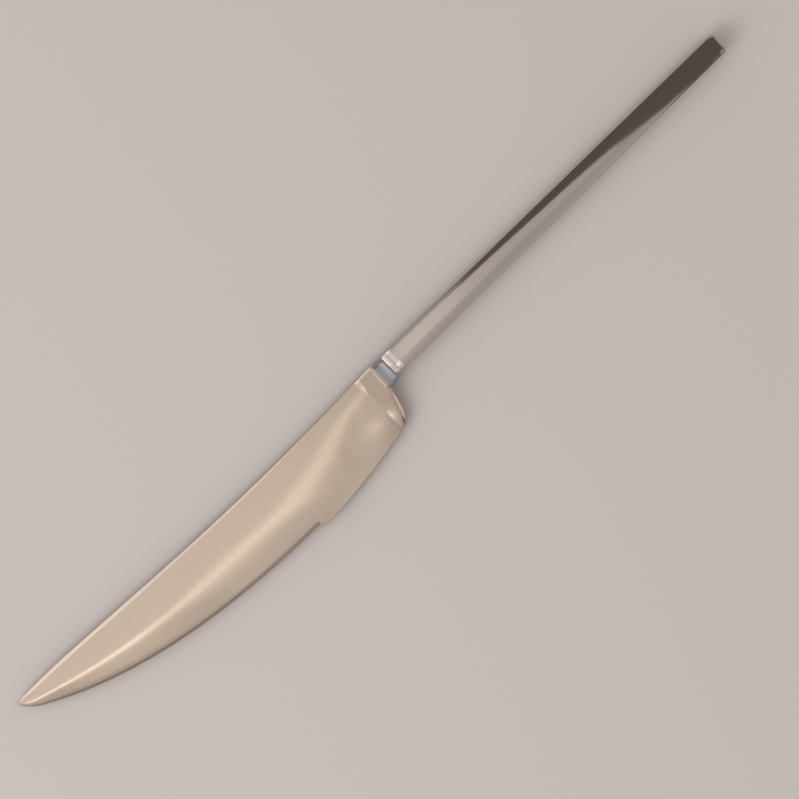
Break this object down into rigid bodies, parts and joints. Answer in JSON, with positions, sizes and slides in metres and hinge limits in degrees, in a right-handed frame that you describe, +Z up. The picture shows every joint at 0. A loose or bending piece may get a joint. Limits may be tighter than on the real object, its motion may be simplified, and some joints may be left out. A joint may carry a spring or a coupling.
{
  "type": "steak knife",
  "caption": "Slim steel steak knife with an upswept blade, a finely serrated edge ending at a plain heel, a short collar and a square hollow handle.",
  "frame": {"origin": "under the middle of the knife's bounding box, on the surface that the back of the handle lies on", "axes": "+X along the handle from the tip to the butt, +Y from the cutting edge to the spine, +Z up, out of the face of the blade"},
  "size_m": [0.23, 0.0218, 0.006],
  "materials": {
    "blade_steel": "satin",
    "collar_steel": "polished",
    "handle_steel": "polished",
    "cement": "matte"
  },
  "bodies": {
    "root": {"blade": "blade_steel", "bolster_collar": "collar_steel", "handle_face_shell": "handle_steel", "handle_back_shell": "handle_steel", "butt_cap": "handle_steel", "handle_cement": "cement"}
  },
  "joints": []
}
